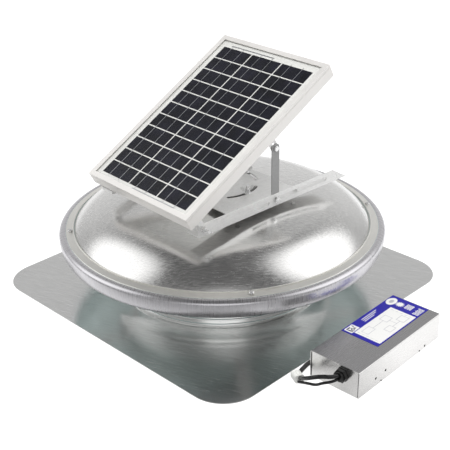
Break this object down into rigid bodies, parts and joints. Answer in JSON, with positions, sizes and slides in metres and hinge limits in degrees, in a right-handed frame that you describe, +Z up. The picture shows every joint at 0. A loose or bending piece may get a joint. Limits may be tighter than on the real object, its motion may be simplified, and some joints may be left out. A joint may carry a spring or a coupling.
{
  "type": "solar attic fan",
  "caption": "Roof attic fan with a round metal hood, square flashing, inner motor and blades, a swivelling and tilting solar panel on top, and a separate controller box with leads.",
  "frame": {"origin": "on the fan's axis, in the plane of the flashing's underside", "axes": "+Z up along the fan's axis; the panel's low edge faces -Y; the controller box stands on the +X side"},
  "size_m": [0.7489, 0.622, 0.4286],
  "materials": {
    "flashing_steel": "dark grey coated sheet",
    "collar_steel": "bright ridged sheet",
    "wire": "galvanised wire",
    "dome_metal": "spun, satin",
    "rim_metal": "spun, satin",
    "fastener_steel": "zinc plated",
    "galvanised": "galvanised sheet",
    "motor_paint": "satin black",
    "motor_iron": "laminated",
    "shaft_steel": "ground",
    "blade_metal": "mill finish",
    "strut_metal": "galvanised, darker",
    "frame_aluminium": "silver white anodised",
    "glass": "clear",
    "cell": "dark blue black silicon",
    "ribbon": "tinned",
    "backsheet": "white",
    "black_plastic": "moulded",
    "box_metal": "brushed",
    "label": null,
    "board": "circuit laminate",
    "gland_plastic": "moulded nylon",
    "lead_rubber": "glossy black",
    "sleeve": "ribbed sleeve",
    "white_plastic": "off white nylon"
  },
  "bodies": {
    "roof_unit": {"roof_flashing": "flashing_steel", "throat_collar": "collar_steel", "bird_screen": "wire", "hood_dome": "dome_metal", "hood_rim": "rim_metal", "hood_strap_fasteners": "fastener_steel", "hood_straps": "galvanised", "motor_spider": "galvanised", "motor_housing": "motor_paint", "motor_stator": "motor_iron", "motor_end_cap": "motor_paint", "motor_bearing": "shaft_steel", "motor_mount_bolts": "fastener_steel", "motor_cable_gland": "black_plastic", "swivel_studs": "fastener_steel", "stud_spacers": "fastener_steel", "swivel_wing_nuts": "fastener_steel", "controller_cover": "box_metal", "controller_tray": "box_metal", "controller_label": "label", "controller_screws": "fastener_steel", "circuit_board": "board", "controller_gland": "gland_plastic", "controller_gland_nut": "gland_plastic", "supply_lead": "lead_rubber", "signal_lead": "lead_rubber", "sleeved_lead": "sleeve", "lead_connector": "white_plastic", "sleeved_plug": "black_plastic"},
    "fan_rotor": {"motor_shaft": "shaft_steel", "motor_rotor": "motor_iron", "fan_hub": "blade_metal", "fan_blades": "blade_metal", "fan_hub_fasteners": "fastener_steel"},
    "panel_bracket": {"bracket_base_plate": "galvanised", "right_rail": "galvanised", "left_rail": "galvanised", "rail_bolts": "fastener_steel", "hinge_bolts": "fastener_steel", "hinge_wing_nuts": "fastener_steel"},
    "solar_panel": {"panel_frame_left": "frame_aluminium", "panel_frame_right": "frame_aluminium", "panel_frame_front": "frame_aluminium", "panel_frame_rear": "frame_aluminium", "panel_glass": "glass", "solar_cells": "cell", "cell_ribbons": "ribbon", "panel_backsheet": "backsheet", "junction_box": "black_plastic", "junction_lid": "black_plastic", "junction_gland": "black_plastic", "hinge_tabs": "galvanised", "strut_tabs": "galvanised", "tab_screws": "fastener_steel"},
    "right_slider": {"right_foot_bolt": "fastener_steel"},
    "left_slider": {"left_foot_bolt": "fastener_steel"},
    "right_brace": {"right_strut": "strut_metal", "right_strut_top_bolt": "fastener_steel"},
    "left_brace": {"left_strut": "strut_metal", "left_strut_top_bolt": "fastener_steel"}
  },
  "joints": [
    {"name": "fan_spin", "type": "hinge", "parent": "roof_unit", "child": "fan_rotor", "pos_m": [0, 0, 0.06], "axis": [0, 0, 1], "continuous": true},
    {"name": "bracket_swivel", "type": "hinge", "parent": "roof_unit", "child": "panel_bracket", "pos_m": [0, 0, 0.2], "axis": [0, 0, 1], "range_deg": [-25, 31]},
    {"name": "panel_tilt", "type": "hinge", "parent": "panel_bracket", "child": "solar_panel", "pos_m": [-0.00869, -0.16577, 0.211], "axis": [0.9986, -0.0523, 0], "range_deg": [-10, 0]},
    {"name": "right_foot_slide", "type": "slide", "parent": "panel_bracket", "child": "right_slider", "axis": [0.0523, 0.9986, 0], "range_m": [0, 0.0862]},
    {"name": "left_foot_slide", "type": "slide", "parent": "panel_bracket", "child": "left_slider", "axis": [0.0523, 0.9986, 0], "range_m": [0, 0.0862]},
    {"name": "right_strut_hinge", "type": "hinge", "parent": "right_slider", "child": "right_brace", "pos_m": [0.13443, 0.00097, 0.2085], "axis": [0.9986, -0.0523, 0], "range_deg": [0, 47.8]},
    {"name": "left_strut_hinge", "type": "hinge", "parent": "left_slider", "child": "left_brace", "pos_m": [-0.1336, 0.01501, 0.2085], "axis": [0.9986, -0.0523, 0], "range_deg": [0, 47.8]}
  ],
  "couplings": [
    {"joint": "right_foot_slide", "follows": "panel_tilt", "m_per_rad": -0.4916},
    {"joint": "left_foot_slide", "follows": "panel_tilt", "m_per_rad": -0.4916},
    {"joint": "right_strut_hinge", "follows": "panel_tilt", "ratio": -4.75},
    {"joint": "left_strut_hinge", "follows": "panel_tilt", "ratio": -4.75}
  ]
}
